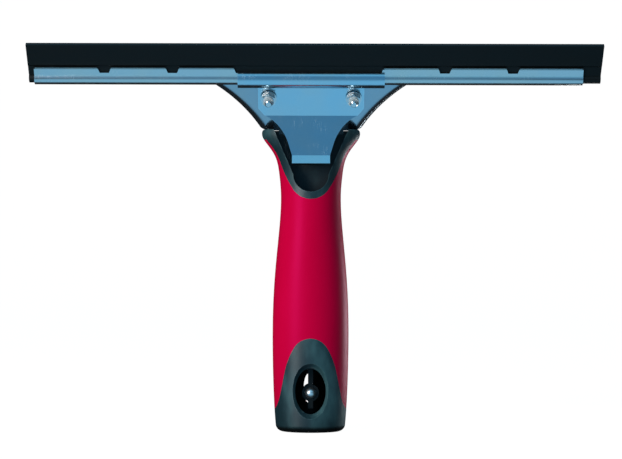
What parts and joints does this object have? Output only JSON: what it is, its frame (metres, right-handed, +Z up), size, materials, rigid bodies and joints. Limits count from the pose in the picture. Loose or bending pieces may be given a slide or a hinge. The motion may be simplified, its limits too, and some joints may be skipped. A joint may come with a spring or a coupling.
{
  "type": "window cleaning squeegee",
  "caption": "Hand squeegee: a rubber blade in a steel channel, held by a sprung clamp on a pressed steel head, with a soft-grip handle that locks onto a pole.",
  "frame": {"origin": "centre of the pole socket's mouth, at the handle's base", "axes": "+Z up the handle, +X along the blade to the right, the blade leans towards -Y, the front"},
  "size_m": [0.3138, 0.0523, 0.2134],
  "materials": {
    "grip_rubber": "soft matte elastomer",
    "core_plastic": "moulded, slightly mottled",
    "stem_plastic": "moulded",
    "head_steel": "polished sheet",
    "clamp_steel": "polished sheet with fine scratches",
    "channel_steel": "rolled stainless strip",
    "fixing_steel": "zinc plated",
    "button_steel": "turned and polished",
    "spring_steel": "drawn wire",
    "nylon": "natural nylon",
    "blade_rubber": "moulded, satin"
  },
  "bodies": {
    "handle": {"handle_core": "core_plastic", "grip_sleeve": "grip_rubber", "end_cap": "core_plastic", "head_plate": "head_steel", "clamp_bolt_left": "fixing_steel", "clamp_bolt_right": "fixing_steel", "clamp_washer_left": "fixing_steel", "clamp_washer_right": "fixing_steel", "clamp_nut_left": "fixing_steel", "clamp_nut_right": "fixing_steel", "nut_ring_left": "nylon", "nut_ring_right": "nylon", "tang_rivet_left": "fixing_steel", "tang_rivet_right": "fixing_steel", "lock_stem": "stem_plastic", "lock_spring": "spring_steel", "lock_seal": "stem_plastic", "stem_pin": "fixing_steel", "clamp_spring": "spring_steel"},
    "clamp": {"clamp_plate": "clamp_steel"},
    "channel": {"blade_channel": "channel_steel"},
    "rubber": {"rubber_blade": "blade_rubber"},
    "button": {"lock_button": "button_steel"}
  },
  "joints": [
    {"name": "clamp_release", "type": "hinge", "parent": "handle", "child": "clamp", "pos_m": [0, -0.0171, 0.18541], "axis": [1, 0, 0], "range_deg": [0, 7], "stiffness_Nm_per_rad": 2, "springref_deg": -8.59, "deforming": ["clamp_spring"]},
    {"name": "channel_slide", "type": "slide", "parent": "handle", "child": "channel", "axis": [1, 0, 0], "range_m": [-0.098, 0.098]},
    {"name": "rubber_slide", "type": "slide", "parent": "channel", "child": "rubber", "axis": [1, 0, 0], "range_m": [-0.15, 0.15]},
    {"name": "lock_press", "type": "slide", "parent": "handle", "child": "button", "axis": [0, 1, 0], "range_m": [0, 0.003], "stiffness_N_per_m": 500, "springref_m": -0.002, "deforming": ["lock_spring"]}
  ]
}
